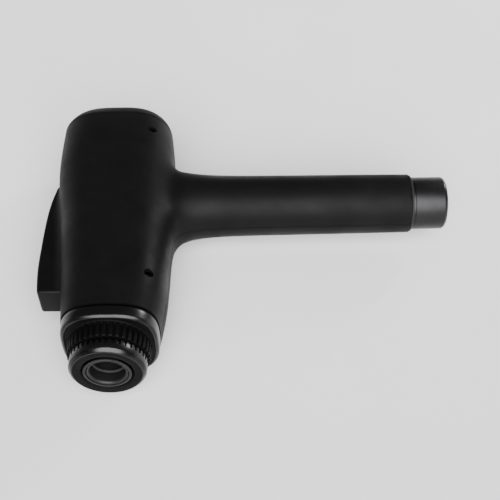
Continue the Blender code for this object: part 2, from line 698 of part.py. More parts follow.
def make_handle_cap(frame, mats):
    """Metal cup that closes the handle's foot, with the charging inlet and the master switch."""
    floor = 0.0020
    seal = 0.0010
    start = HANDLE_END + GAP + seal
    profile = [(0.0, CAP_END), (CAP_R - 0.0020, CAP_END), (CAP_R - 0.0006, CAP_END - 0.0006),
               (CAP_R, CAP_END - 0.0020), (CAP_R, start), (CAP_R - CAP_WALL, start),
               (CAP_R - CAP_WALL, CAP_END - floor), (0.0, CAP_END - floor)]
    cap = turned("handle_cap", profile, mats["cap"], frame, "handle", closed=False)
    inside, outside = CAP_END - 0.0145, CAP_END + 0.0155
    inlet_hole = disc("inlet_hole", INLET_R + GAP, inside, outside, None, frame, "handle", (0.0, INLET_Y, 0.0),
                      SMALL, collection=CUTTERS)
    switch_hole = box("switch_hole", (inside, SWITCH_Y - SWITCH_HALF_Y - GAP, -SWITCH_HALF_Z - GAP),
                      (outside, SWITCH_Y + SWITCH_HALF_Y + GAP, SWITCH_HALF_Z + GAP), None, frame,
                      collection=CUTTERS)
    light_hole = disc("charge_light_hole", CHARGE_LIGHT_R + GAP, inside, outside, None, frame, "handle",
                      (0.0, INLET_Y, CHARGE_LIGHT_Z), SMALL, collection=CUTTERS)
    cut(cap, inlet_hole, switch_hole, light_hole)
    smooth(cap)
    ring("cap_seal", CAP_R - CAP_WALL + GAP, 0.0180, HANDLE_END, HANDLE_END + seal, mats["rubber"], frame, "handle")
    at = (0.0, INLET_Y, 0.0)
    back, face = CAP_END - 0.0105, CAP_END - 0.0002
    bore = 0.0028
    pin = 0.0007
    profile = [(0.0, face - 0.0012), (pin, face - 0.0012), (pin, back + 0.0015), (bore, back + 0.0015),
               (bore, face), (INLET_R, face), (INLET_R, back), (0.0, back)]
    inlet = turned("dc_inlet", profile, mats["inlet"], frame, "handle", at, SMALL, closed=False)
    smooth(inlet)
    disc("charge_light", CHARGE_LIGHT_R, CAP_END - 0.0060, CAP_END - 0.0001, mats["light"], frame, "handle",
         (0.0, INLET_Y, CHARGE_LIGHT_Z), SMALL)
    make_switch(frame, mats)


def make_switch(frame, mats):
    """Master rocker switch: a rocker in a housing, tilted to its off side."""
    back = CAP_END - 0.0125
    pocket_y = SWITCH_HALF_Y - SWITCH_WALL
    pocket_z = SWITCH_HALF_Z - SWITCH_WALL
    housing = box("switch_housing", (back, SWITCH_Y - SWITCH_HALF_Y, -SWITCH_HALF_Z),
                  (CAP_END - 0.0001, SWITCH_Y + SWITCH_HALF_Y, SWITCH_HALF_Z), mats["inlet"], frame, 0.0003)
    pocket = box("switch_pocket", (back + 0.0030, SWITCH_Y - pocket_y, -pocket_z),
                 (CAP_END + 0.01, SWITCH_Y + pocket_y, pocket_z), None, frame, collection=CUTTERS)
    cut(housing, pocket)
    smooth(housing)
    axis = empty("rocker_axis", (CAP_END - 0.0050, SWITCH_Y, 0.0), frame)
    half_y = pocket_y - GAP
    half_z = pocket_z - 0.0007
    outline = [(0.0036, half_z), (0.0022, 0.0), (0.0036, -half_z), (-0.0004, -half_z), (-0.0034, 0.0),
               (-0.0004, half_z)]
    corners = [(x, -half_y, z) for x, z in outline]
    rocker = swept("switch_rocker", corners, (0.0, 2 * half_y, 0.0), mats["button"], axis)
    rocker.rotation_euler = (0.0, math.radians(-ROCKER_TILT), 0.0)


def make_harness(frame, mats):
    """Lead from the battery board to the control board, clipped inside the left shell."""
    route = [(0.0660, 0.0000, 0.0128), (0.0480, 0.0010, 0.0140), (0.0300, 0.0060, 0.0160), (0.0160, 0.0180, 0.0170),
             (0.0060, 0.0340, 0.0160), (0.0020, 0.0480, 0.0140), (0.0000, 0.0568, 0.0130)]
    curve = bpy.data.curves.new("harness", "CURVE")
    curve.dimensions = "3D"
    curve.bevel_depth = 0.0011
    curve.bevel_resolution = 1
    curve.use_fill_caps = True
    spline = curve.splines.new("POLY")
    spline.points.add(len(route) - 1)
    for point, place in zip(spline.points, route):
        point.co = (*place, 1.0)
    curve.materials.append(mats["rubber"])
    obj = bpy.data.objects.new("harness", curve)
    bpy.data.collections[PARTS].objects.link(obj)
    obj.parent = frame


def main():
    clear_scene()
    mats = make_materials()
    frame = empty("gun_frame", (0.0, 0.0, 0.0), None)
    frame.location = (-(SPINE_TOP + CAP_END) / 2, (NOSE_FRONT - REAR_Y) / 2, HALF_THICKNESS)
    make_shells(frame, mats)
    make_rear_cap(frame, mats)
    make_controls(frame, mats)
    make_spine(frame, mats)
    make_collar(frame, mats)
    make_vent(frame, mats)
    make_nose(frame, mats)
    make_drive_frame(frame, mats)
    make_motor(frame, mats)
    make_piston(frame, mats)
    make_rod(frame, mats)
    make_battery(frame, mats)
    make_handle_cap(frame, mats)
    make_harness(frame, mats)


main()
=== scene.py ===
"""Looks of the massage gun: fine shells, collar, nose, socket, handle cap and controls round the CAD frame.

Lengths are metres. Pieces are modelled in the gun's own axes, which meet where the barrel's axis
crosses the handle's axis: X runs down the handle, -Y runs towards the nose, Z towards the left side.
"""
import math

import bmesh
import bpy
from mathutils import Matrix, Vector
from mathutils.bvhtree import BVHTree


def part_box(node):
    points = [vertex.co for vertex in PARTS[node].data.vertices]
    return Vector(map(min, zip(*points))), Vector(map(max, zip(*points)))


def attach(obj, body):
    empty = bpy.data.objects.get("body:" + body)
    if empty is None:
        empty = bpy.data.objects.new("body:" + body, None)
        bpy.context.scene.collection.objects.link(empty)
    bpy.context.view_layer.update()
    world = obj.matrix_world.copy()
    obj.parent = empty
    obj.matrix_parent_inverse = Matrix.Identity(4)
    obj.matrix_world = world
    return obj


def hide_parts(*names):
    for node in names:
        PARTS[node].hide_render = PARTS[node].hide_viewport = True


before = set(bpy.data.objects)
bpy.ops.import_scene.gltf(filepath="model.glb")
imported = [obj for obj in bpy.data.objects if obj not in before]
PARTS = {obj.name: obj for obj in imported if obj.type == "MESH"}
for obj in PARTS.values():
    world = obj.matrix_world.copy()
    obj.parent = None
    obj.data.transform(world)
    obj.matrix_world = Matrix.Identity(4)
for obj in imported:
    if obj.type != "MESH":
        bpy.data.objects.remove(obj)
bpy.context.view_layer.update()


def middle(node):
    low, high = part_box(node)
    return (low + high) / 2


# Where the gun's own axes meet, and its stations, most of them from the frame
GUN = Vector((middle("nose_ring").x, middle("handle_cap").y, middle("nose_ring").z))
TOP_X = -0.0435            # top line of the barrel's rear part
SEAM_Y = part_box("left_shell")[1].y - GUN.y
REAR_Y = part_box("rear_cap")[1].y - GUN.y
COLLAR_REAR = GUN.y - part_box("collar_ring")[1].y
COLLAR_FRONT = GUN.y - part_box("collar_ring")[0].y
NOSE_FRONT = GUN.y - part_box("nose_ring")[0].y
NOSE_REAR = GUN.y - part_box("nose_ring")[1].y
HANDLE_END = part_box("left_shell")[1].x - GUN.x
CAP_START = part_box("handle_cap")[0].x - GUN.x
CAP_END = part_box("handle_cap")[1].x - GUN.x
HALF_THICKNESS = GUN.z
COLLAR_OUTER = (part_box("collar_ring")[1].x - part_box("collar_ring")[0].x) / 2
FRONT_HALF = COLLAR_OUTER + 0.0002
SPINE_LOW, SPINE_HIGH = (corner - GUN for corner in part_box("top_spine"))
SPINE_HALF = SPINE_HIGH.z
SPINE_MIDDLE = -0.0360
SPINE_ARCH = 0.0027        # how far the spine's top drops over SPINE_REACH, either way from its middle
SPINE_REACH = 0.0420
WALL = 0.0024
CAD_GAP = 0.0003           # clearance between two pieces of the frame
GAP = 0.00014              # half of a visible joint line between two shells
HOLE_GAP = 0.00015         # clearance round what stands in the handle cap's holes

FINE = 128                 # sides of the large and small round pieces
SMALL = 64


# Mesh tools --------------------------------------------------------------------------------------

def mesh_of(name, bm):
    mesh = bpy.data.meshes.new(name)
    bm.to_mesh(mesh)
    bm.free()
    return mesh


def add_object(name, mesh):
    obj = bpy.data.objects.new(name, mesh)
    bpy.context.scene.collection.objects.link(obj)
    obj.location = GUN
    return obj


def applied(obj):
    """Turn the object's modifiers into its mesh."""
    bpy.context.view_layer.update()
    depsgraph = bpy.context.evaluated_depsgraph_get()
    mesh = bpy.data.meshes.new_from_object(obj.evaluated_get(depsgraph))
    obj.modifiers.clear()
    obj.data = mesh
    return obj


def smooth(obj, degrees=32.0):
    obj.data.shade_smooth()
    obj.data.set_sharp_from_angle(angle=math.radians(degrees))
    return obj


def round_edges(obj, width, segments=2, degrees=40.0):
    bevel = obj.modifiers.new("Edges", "BEVEL")
    bevel.width = width
    bevel.segments = segments
    bevel.limit_method = "ANGLE"
    bevel.angle_limit = math.radians(degrees)
    bevel.use_clamp_overlap = True
    bevel.harden_normals = False
    return applied(obj)


def combine(obj, other, operation):
    """Boolean with another object, which is then removed."""
    modifier = obj.modifiers.new("Combine", "BOOLEAN")
    modifier.object = other
    modifier.operation = operation
    modifier.solver = "EXACT"
    applied(obj)
    bpy.data.objects.remove(other, do_unlink=True)
    return obj


def bridge(bm, first, second, slot=0):
    count = len(first)
    for i in range(count):
        j = (i + 1) % count
        face = bm.faces.new((first[i], first[j], second[j], second[i]))
        face.material_index = slot


AXES = {
    # how a turned piece's own radius and height lie in the gun's axes
    "nose": lambda r, a, h: (r * math.cos(a), -h, r * math.sin(a)),
    "handle": lambda r, a, h: (h, r * math.cos(a), r * math.sin(a)),
    "side": lambda r, a, h: (r * math.cos(a), r * math.sin(a), h),
}


def turned(name, profile, axis, at=(0.0, 0.0, 0.0), steps=FINE, slots=None, closed=True):
    """A turned piece from (radius, height) points. slots gives each stretch of the profile its material."""
    place = AXES[axis]
    shift = Vector(at)
    bm = bmesh.new()
    rows = []
    for radius, height in profile:
        if radius == 0.0:
            rows.append([bm.verts.new(Vector(place(0.0, 0.0, height)) + shift)])
            continue
        angles = [math.tau * i / steps for i in range(steps)]
        rows.append([bm.verts.new(Vector(place(radius, a, height)) + shift) for a in angles])
    pairs = list(zip(rows, rows[1:]))
    if closed:
        pairs.append((rows[-1], rows[0]))
    for index, (row, following) in enumerate(pairs):
        slot = slots[index] if slots else 0
        if len(row) > 1 and len(following) > 1:
            bridge(bm, row, following, slot)
            continue
        pole, loop = (row[0], following) if len(row) == 1 else (following[0], row)
        for i, vertex in enumerate(loop):
            face = bm.faces.new((vertex, loop[(i + 1) % len(loop)], pole))
            face.material_index = slot
    bmesh.ops.recalc_face_normals(bm, faces=bm.faces)
    return smooth(add_object(name, mesh_of(name, bm)))


def softened(profile, radius, closed=True, points=3):
    """The profile with each of its corners replaced by a small round."""
    result = []
    count = len(profile)
    for i, corner in enumerate(profile):
        here = Vector((*corner, 0.0))
        at_end = not closed and i in (0, count - 1)
        if at_end:
            result.append(corner)
            continue
        before = Vector((*profile[i - 1], 0.0)) - here
        after = Vector((*profile[(i + 1) % count], 0.0)) - here
        reach = min(radius, before.length * 0.4, after.length * 0.4)
        start = here + before.normalized() * reach
        end = here + after.normalized() * reach
        for step in range(points):
            t = step / (points - 1)
            point = start * (1 - t) ** 2 + here * 2 * t * (1 - t) + end * t ** 2
            result.append((max(point.x, 0.0), point.y))
    return result


def loft(name, loops, slots):
    """A closed band through unlike sections; slots gives each band between sections its material."""
    bm = bmesh.new()
    rows = [[bm.verts.new(point) for point in loop] for loop in loops]
    for row, following, slot in zip(rows, rows[1:] + rows[:1], slots):
        bridge(bm, row, following, slot)
    bmesh.ops.recalc_face_normals(bm, faces=bm.faces)
    return smooth(add_object(name, mesh_of(name, bm)))


def block(name, low, high):
    low, high = Vector(low), Vector(high)
    bm = bmesh.new()
    bmesh.ops.create_cube(bm, size=1.0)
    bmesh.ops.scale(bm, vec=high - low, verts=bm.verts)
    bmesh.ops.translate(bm, vec=(low + high) / 2, verts=bm.verts)
    return add_object(name, mesh_of(name, bm))


def swept(name, corners, sweep):
    """A flat outline swept straight along one direction."""
    bm = bmesh.new()
    face = bm.faces.new([bm.verts.new(corner) for corner in corners])
    extruded = bmesh.ops.extrude_face_region(bm, geom=[face])["geom"]
    far_side = [item for item in extruded if isinstance(item, bmesh.types.BMVert)]
    bmesh.ops.translate(bm, verts=far_side, vec=sweep)
    bmesh.ops.recalc_face_normals(bm, faces=bm.faces)
    return add_object(name, mesh_of(name, bm))


def rod(name, radius, low, high, axis, at, steps=SMALL):
    profile = [(0.0, high), (radius, high), (radius, low), (0.0, low)]
    return turned(name, profile, axis, at, steps, closed=False)


# Materials ---------------------------------------------------------------------------------------

class Finish:
    """A Principled material with procedural colour, roughness and bump on the piece's own axes."""

    def __init__(self, name, metallic=0.0, specular=0.5, coat=0.0):
        self.material = bpy.data.materials.new(name)
        self.material.use_nodes = True
        self.nodes = self.material.node_tree.nodes
        self.links = self.material.node_tree.links
        self.shader = self.nodes["Principled BSDF"]
        self.shader.inputs["Metallic"].default_value = metallic
        self.shader.inputs["Specular IOR Level"].default_value = specular
        self.shader.inputs["Coat Weight"].default_value = coat
        self.shader.inputs["Coat Roughness"].default_value = 0.25
        self.coordinates = self.nodes.new("ShaderNodeTexCoord")

    def place(self, stretch):
        mapping = self.nodes.new("ShaderNodeMapping")
        mapping.inputs["Scale"].default_value = stretch
        self.links.new(self.coordinates.outputs["Object"], mapping.inputs["Vector"])
        return mapping.outputs["Vector"]

    def noise(self, scale, detail=3.0, roughness=0.5, stretch=(1.0, 1.0, 1.0)):
        node = self.nodes.new("ShaderNodeTexNoise")
        node.inputs["Scale"].default_value = scale
        node.inputs["Detail"].default_value = detail
        node.inputs["Roughness"].default_value = roughness
        self.links.new(self.place(stretch), node.inputs["Vector"])
        return node.outputs["Fac"]

    def remap(self, value, from_low, from_high, to_low, to_high):
        node = self.nodes.new("ShaderNodeMapRange")
        node.inputs["From Min"].default_value = from_low
        node.inputs["From Max"].default_value = from_high
        node.inputs["To Min"].default_value = to_low
        node.inputs["To Max"].default_value = to_high
        self.links.new(value, node.inputs["Value"])
        return node.outputs["Result"]

    def math(self, operation, first, second):
        node = self.nodes.new("ShaderNodeMath")
        node.operation = operation
        self.links.new(first, node.inputs[0])
        if isinstance(second, float):
            node.inputs[1].default_value = second
        else:
            self.links.new(second, node.inputs[1])
        return node.outputs["Value"]

    def mix(self, factor, first, second):
        """A colour between two colours or sockets."""
        node = self.nodes.new("ShaderNodeMix")
        node.data_type = "RGBA"
        self.links.new(factor, node.inputs["Factor"])
        for name, value in (("A", first), ("B", second)):
            socket = [s for s in node.inputs if s.name == name and s.type == "RGBA"][0]
            if isinstance(value, tuple):
                socket.default_value = (*value, 1.0)
            else:
                self.links.new(value, socket)
        return [s for s in node.outputs if s.type == "RGBA"][0]

    def colour(self, socket):
        self.links.new(socket, self.shader.inputs["Base Color"])

    def roughness(self, socket):
        self.links.new(socket, self.shader.inputs["Roughness"])

    def bump(self, height, distance, strength=1.0):
        node = self.nodes.new("ShaderNodeBump")
        node.inputs["Strength"].default_value = strength
        node.inputs["Distance"].default_value = distance
        self.links.new(height, node.inputs["Height"])
        existing = self.shader.inputs["Normal"]
        if existing.is_linked:
            self.links.new(existing.links[0].from_socket, node.inputs["Normal"])
        self.links.new(node.outputs["Normal"], self.shader.inputs["Normal"])


def grey(value):
    return (value, value, value * 1.03)


def moulded_plastic(name, dark, light, rough, grain=0.00006, specular=0.3):
    """Spark-eroded moulded plastic: fine grain, faint flow mottling and handling marks."""
    finish = Finish(name, specular=specular)
    mottle = finish.noise(55.0, 4.0, 0.55)
    fine = finish.noise(900.0, 2.0, 0.5)
    handled = finish.noise(28.0, 5.0, 0.62, (1.0, 1.35, 1.0))
    base = finish.mix(finish.remap(mottle, 0.35, 0.65, 0.0, 1.0), grey(dark), grey(light))
    speckled = finish.mix(finish.remap(fine, 0.30, 0.72, 0.0, 0.45), base, grey(light * 1.5))
    finish.colour(speckled)
    worn = finish.remap(handled, 0.38, 0.66, rough + 0.05, rough - 0.09)
    grainy = finish.remap(fine, 0.3, 0.7, -0.035, 0.035)
    finish.roughness(finish.math("ADD", worn, grainy))
    finish.bump(finish.noise(46.0, 2.0, 0.5), 0.00018, 0.5)
    finish.bump(finish.noise(1500.0, 3.0, 0.6), grain, 0.8)
    return finish.material


def turned_metal(name, dark, light, rough, along, lines=1.0):
    """Metal with fine turning lines round its axis. along is the stretch that lays the lines."""
    finish = Finish(name, metallic=1.0)
    cut_lines = finish.noise(1.0, 4.0, 0.65, along)
    cloud = finish.noise(70.0, 3.0, 0.55)
    base = finish.mix(finish.remap(cut_lines, 0.3, 0.7, 0.0, 1.0), grey(dark), grey(light))
    finish.colour(finish.mix(finish.remap(cloud, 0.35, 0.7, 0.0, 0.35), base, grey(dark * 0.7)))
    finish.roughness(finish.math("ADD", finish.remap(cut_lines, 0.3, 0.7, rough - 0.06, rough + 0.08),
                                 finish.remap(cloud, 0.3, 0.7, -0.03, 0.04)))
    finish.bump(cut_lines, 0.00003 * lines, 0.5)
    return finish.material


def rubber(name, value):
    finish = Finish(name, specular=0.25)
    bloom = finish.noise(160.0, 4.0, 0.6)
    finish.colour(finish.mix(finish.remap(bloom, 0.35, 0.7, 0.0, 1.0), grey(value), grey(value * 2.1)))
    finish.roughness(finish.remap(bloom, 0.3, 0.7, 0.62, 0.82))
    finish.bump(finish.noise(1200.0, 2.0, 0.5), 0.00005, 0.6)
    return finish.material


def frosted_light(name):
    """Milky light guide, unlit, with a faint cloudiness inside."""
    finish = Finish(name, specular=0.5, coat=0.3)
    cloud = finish.noise(220.0, 3.0, 0.5)
    finish.colour(finish.mix(cloud, (0.42, 0.44, 0.46), (0.66, 0.68, 0.70)))
    finish.roughness(finish.remap(cloud, 0.3, 0.7, 0.28, 0.42))
    finish.shader.inputs["Subsurface Weight"].default_value = 0.25
    finish.shader.inputs["Subsurface Radius"].default_value = (0.002, 0.002, 0.002)
    finish.bump(finish.noise(900.0, 2.0, 0.5), 0.00002, 0.4)
    return finish.material


def tinted(name, first, second, rough, metallic=0.0, scale=300.0, stretch=(1.0, 1.0, 1.0), bump=0.00005):
    """Coloured inner pieces: windings, boards, cells, bronze."""
    finish = Finish(name, metallic=metallic)
    pattern = finish.noise(scale, 3.0, 0.6, stretch)
    finish.colour(finish.mix(finish.remap(pattern, 0.35, 0.65, 0.0, 1.0), first, second))
    finish.roughness(finish.remap(pattern, 0.3, 0.7, rough - 0.06, rough + 0.08))
    finish.bump(pattern, bump, 0.6)
    return finish.material


ROUND_NOSE = (6.0, 5200.0, 6.0)          # turning lines round the barrel's axis
ROUND_HANDLE = (5200.0, 6.0, 6.0)        # and round the handle's axis
NO_LINES = (900.0, 900.0, 900.0)         # even grain, where there are no turning lines
FINE_GRAIN = (2400.0, 2400.0, 2400.0)

MATERIALS = {
    "casing": moulded_plastic("soft_touch_black", 0.0025, 0.0038, 0.54, specular=0.08),
    # the strip is satin black, and its colour is painted a little darker than the casing's as painted shade
    "spine": moulded_plastic("satin_black_strip_with_painted_shade", 0.0020, 0.0030, 0.46, grain=0.00003, specular=0.09),
    # the ribbed black is painted darker than the casing's black: painted shade over the neck, the collar's
    # recess and the nose ring's front
    "vent": moulded_plastic("ribbed_black_painted_shade", 0.0013, 0.0020, 0.60, specular=0.06),
    "button": moulded_plastic("button_black", 0.0060, 0.0085, 0.36, grain=0.00003, specular=0.3),
    "inlet": moulded_plastic("socket_nylon", 0.0050, 0.0075, 0.46, specular=0.2),
    # the gunmetal of the collar and nose ring is partly painted shade: its colour is painted darker for the
    # shadow over the nose
    "collar": turned_metal("gunmetal_band_with_painted_shade", 0.034, 0.056, 0.31, ROUND_NOSE),
    "polished": turned_metal("polished_edge", 0.020, 0.032, 0.24, ROUND_NOSE, lines=0.4),
    "cap": turned_metal("gunmetal_cap", 0.022, 0.036, 0.42, ROUND_HANDLE),
    "cap_edge": turned_metal("polished_cap_edge", 0.032, 0.048, 0.28, ROUND_HANDLE, lines=0.4),
    "steel": turned_metal("ground_steel", 0.42, 0.60, 0.26, ROUND_NOSE),
    # the piston's steel is painted dark, as painted shade in the socket
    "steel_painted_dark": turned_metal("steel_painted_dark_as_shade", 0.016, 0.030, 0.30, ROUND_NOSE),
    "screw": turned_metal("blackened_screw", 0.05, 0.09, 0.34, NO_LINES),
    "rubber": rubber("black_rubber", 0.008),
    "light": frosted_light("light_guide"),
    "casting": tinted("die_cast_alloy", (0.42, 0.42, 0.44), (0.56, 0.56, 0.58), 0.42, 1.0, 500.0),
    "bronze": tinted("sintered_bronze", (0.42, 0.25, 0.09), (0.58, 0.38, 0.16), 0.42, 1.0, 1400.0),
    "copper": tinted("enamelled_winding", (0.50, 0.17, 0.07), (0.72, 0.32, 0.15), 0.3, 1.0, 1.0, FINE_GRAIN),
    "circuit": tinted("solder_mask", (0.006, 0.060, 0.022), (0.012, 0.100, 0.040), 0.34, 0.0, 420.0),
    "cell": tinted("cell_sleeve", (0.014, 0.085, 0.240), (0.022, 0.125, 0.320), 0.3, 0.0, 90.0),
}


def paint(obj, *names):
    """Give the mesh its finishes in the order of its faces' slots, which clearing them would reset."""
    slots = obj.data.materials
    for index, name in enumerate(names):
        if index < len(slots):
            slots[index] = MATERIALS[name]
        else:
            slots.append(MATERIALS[name])
    return obj


def take_over(obj, body, slot, *nodes):
    """The piece rides on a body and stands for CAD nodes. slot is not used."""
    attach(obj, body)
    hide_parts(*nodes)
    return obj


# Casing ------------------------------------------------------------------------------------------

# Stations along the barrel: Y, X of the top side, X of the handle side, half thickness. The sides are
# hollowed by 0.3 mm lengthwise, so that the barrel lies on two lands and doesn't rock.
WAIST = HALF_THICKNESS - 0.0003
BARREL = (
    (SEAM_Y, TOP_X, 0.0294, 0.0300),
    (0.0440, TOP_X, 0.0310, HALF_THICKNESS + 0.00032),
    (0.0210, TOP_X + 0.0004, 0.0318, WAIST),
    (-0.0020, -0.0400, 0.0318, WAIST),
    (-0.0260, -0.0366, 0.0316, WAIST),
    (-0.0520, -0.0331, 0.0313, HALF_THICKNESS + 0.00020),
    (-0.0760, -0.0302, 0.0306, 0.0305),
    (-0.0900, -0.0287, 0.0290, 0.0290),
    (-COLLAR_REAR + 2 * CAD_GAP, -FRONT_HALF, FRONT_HALF, FRONT_HALF),
)
HANDLE_ROOT = 3            # the middle one of the three stations that the handle grows from
SHOULDER = 0.60            # how square the barrel's section is

# Stations down the handle: X, radius
HANDLE = (
    (0.0395, 0.0222),
    (0.0540, 0.0194),
    (0.1100, 0.0191),
    (0.1640, 0.0188),
    (HANDLE_END, 0.0186),
)
OCTAGON = (4.0 + 2.0 * math.cos(math.radians(45.0))) / 6.0     # smoothed radius of an eight-sided cage


def squircle_cage(y, x_top, x_handle, half_z):
    """Twelve cage points round the barrel, starting at the middle of the handle side."""
    centre = (x_top + x_handle) / 2
    half_x = (x_handle - x_top) / 2
    quarter = [(1.0, 0.0), (1.0, SHOULDER), (SHOULDER, 1.0)]
    points = []
    for turn in range(4):
        for u, v in quarter:
            for _ in range(turn):
                u, v = -v, u
            points.append(Vector((centre + half_x * u, y, half_z * v)))
    return points


def shell_cage():
    """The open outer surface of both shells as a coarse cage, with the handle grown from its side."""
    bm = bmesh.new()
    loops = [[bm.verts.new(point) for point in squircle_cage(*station)] for station in BARREL]
    count = len(loops[0])
    for row in range(len(loops) - 1):
        for i in range(count):
            at_root = row in (HANDLE_ROOT - 1, HANDLE_ROOT) and i in (0, count - 1)
            if not at_root:
                j = (i + 1) % count
                bm.faces.new((loops[row][i], loops[row][j], loops[row + 1][j], loops[row + 1][i]))
    rear, mid, front = loops[HANDLE_ROOT - 1], loops[HANDLE_ROOT], loops[HANDLE_ROOT + 1]
    root = [rear[0], rear[1], mid[1], front[1], front[0], front[-1], mid[-1], rear[-1]]
    bm.verts.remove(mid[0])
    for x, radius in HANDLE:
        reach = radius / OCTAGON
        angles = [math.radians(45.0 * i) for i in range(8)]
        loop = [bm.verts.new((x, reach * math.cos(a), reach * math.sin(a))) for a in angles]
        bridge(bm, root, loop)
        root = loop
    bmesh.ops.recalc_face_normals(bm, faces=bm.faces)
    return mesh_of("shell_cage", bm)


def subdivided(obj, levels):
    smoother = obj.modifiers.new("Smooth", "SUBSURF")
    smoother.levels = levels
    smoother.render_levels = levels
    return applied(obj)


def thickened(obj, thickness):
    wall = obj.modifiers.new("Wall", "SOLIDIFY")
    wall.thickness = thickness
    wall.offset = -1.0
    wall.use_even_offset = True
    return applied(obj)


# Case screws: X, Y, and the height of the seat under the screw's head
CASE_SCREWS = {
    "case_screw_front": (0.0219, -0.0765, 0.0170),
    "case_screw_rear": (0.0179, 0.0441, 0.0212),
}
SCREW_HEAD_R = 0.0023
SCREW_HEAD_HEIGHT = 0.0022
SCREW_SHANK_R = 0.0013
SCREW_END = -0.0147
BOSS_R = 0.0042


def spine_top(y):
    """X of the spine's arched top at a place along the barrel."""
    return SPINE_LOW.x + SPINE_ARCH * abs((y - SPINE_MIDDLE) / SPINE_REACH) ** 3


FILLET_R = 0.0054
FILLET_LEAST_R = 0.0002
FILLET_SHARE = 0.72        # most of the spine's height that the root may climb
FILLET_RUN_IN = 0.0045     # length over which it grows from the front
FILLET_DEPTH = 0.0011      # how far its base lies under the shell's surface
FILLET_SINK = 0.00003      # how far its edge dips below that surface, to leave no step


def fillet_beside_spine(shell, side):
    """Concave root along the spine, laid on the shell's own surface; it fades out at both ends."""
    surface = BVHTree.FromObject(shell, bpy.context.evaluated_depsgraph_get())

    def surface_x(y, z):
        outside = Vector((-0.2, y, z))
        return surface.ray_cast(outside, Vector((1.0, 0.0, 0.0)))[0].x

    inner = side * (SPINE_HALF - 0.0012)
    stations = 40
    arc_steps = 8
    front, rear = SPINE_LOW.y + 0.0004, SPINE_HIGH.y - 0.0040
    rows = []
    bm = bmesh.new()
    for i in range(stations + 1):
        y = front + (rear - front) * i / stations
        root = surface_x(y, side * SPINE_HALF)
        run_in = min((y - front) / FILLET_RUN_IN, 1.0)
        fade = math.sqrt(max(1.0 - (1.0 - run_in) ** 2, 0.0))
        radius = max(min(FILLET_R * fade, FILLET_SHARE * (root - spine_top(y))), FILLET_LEAST_R)
        foot_z = side * (SPINE_HALF + radius)
        foot = surface_x(y, foot_z)
        section = [(foot + FILLET_DEPTH, inner), (root - radius, inner)]
        for step in range(arc_steps + 1):
            angle = math.radians(90.0) * step / arc_steps
            out, up = 1.0 - math.cos(angle), 1.0 - math.sin(angle)
            level = root + (foot - root) * out - radius * up
            section.append((level + FILLET_SINK, side * (SPINE_HALF + radius * out)))
        section.append((foot + FILLET_DEPTH, foot_z))
        rows.append([bm.verts.new((x, y, z)) for x, z in section])
    for row, following in zip(rows, rows[1:]):
        bridge(bm, row, following)
    bm.faces.new(rows[0])
    bm.faces.new(rows[-1])
    bmesh.ops.recalc_face_normals(bm, faces=bm.faces)
    return add_object("fillet", mesh_of("fillet", bm))


def make_shell(name, side):
    """One half of the casing, cut from the smooth surface at the mid plane and given its wall."""
    shell = subdivided(add_object(f"{name}_fine", shell_cage()), 3)
    bm = bmesh.new()
    bm.from_mesh(shell.data)
    everything = bm.verts[:] + bm.edges[:] + bm.faces[:]
    bmesh.ops.bisect_plane(bm, geom=everything, plane_co=(0.0, 0.0, side * GAP), plane_no=(0.0, 0.0, side),
                           clear_inner=True, dist=0.000002)
    bm.to_mesh(shell.data)
    bm.free()
    fillet = fillet_beside_spine(shell, side)
    thickened(shell, WALL)
    combine(shell, fillet, "UNION")
    for x, y, seat in CASE_SCREWS.values():
        low, high = sorted((side * 0.0004, side * (seat + SCREW_HEAD_HEIGHT)))
        combine(shell, rod("boss", BOSS_R, low, high, "side", (x, y, 0.0)), "UNION")
        if side > 0:
            outside = seat + 0.03
            recess = rod("recess", SCREW_HEAD_R + 0.0002, seat, outside, "side", (x, y, 0.0))
            combine(shell, recess, "DIFFERENCE")
    slot = block("spine_slot", (SPINE_LOW.x - 0.01, SPINE_LOW.y - GAP, SPINE_LOW.z - GAP),
                 (SPINE_HIGH.x + 0.0005, SPINE_HIGH.y + GAP, SPINE_HIGH.z + GAP))
    combine(shell, slot, "DIFFERENCE")
    round_edges(shell, 0.00028, 2, 50.0)
    smooth(shell, 40.0)
    paint(shell, "casing")
    return take_over(shell, "casing", "casing", name)


# Rings of the rear cap's cage: Y, and size against the section at the seam
REAR_CAP_RINGS = (
    (SEAM_Y + CAD_GAP, 1.0),
    (0.0604, 0.998),
    (0.0655, 0.945),
    (0.0710, 0.840),
    (0.0748, 0.650),
    (REAR_Y, 0.370),
)
CONTROL_X = middle("power_button").x - GUN.x
BUTTON_R = 0.0070
LIGHT_R = 0.0105


def make_rear_cap():
    """Rounded rear end of the barrel, with a window for the button and its light ring."""
    _, x_top, x_handle, half_z = BARREL[0]
    centre = (x_top + x_handle) / 2
    half_x = (x_handle - x_top) / 2
    bm = bmesh.new()
    previous = None
    for y, size in REAR_CAP_RINGS:
        points = squircle_cage(y, centre - half_x * size, centre + half_x * size, half_z * size)
        loop = [bm.verts.new(point) for point in points]
        if previous:
            bridge(bm, previous, loop)
        previous = loop
    pole = bm.verts.new((centre, REAR_Y, 0.0))
    for i, vertex in enumerate(previous):
        bm.faces.new((vertex, previous[(i + 1) % len(previous)], pole))
    bmesh.ops.recalc_face_normals(bm, faces=bm.faces)
    cap = subdivided(add_object("rear_cap_fine", mesh_of("rear_cap_fine", bm)), 4)
    thickened(cap, WALL)
    outside, inside = -REAR_Y - 0.024, -REAR_Y + 0.016
    window = rod("window", LIGHT_R + 0.00012, outside, inside, "nose", (CONTROL_X, 0.0, 0.0), FINE)
    combine(cap, window, "DIFFERENCE")
    round_edges(cap, 0.0003, 2, 50.0)
    smooth(cap, 40.0)
    paint(cap, "casing")
    return take_over(cap, "casing", "casing", "rear_cap")


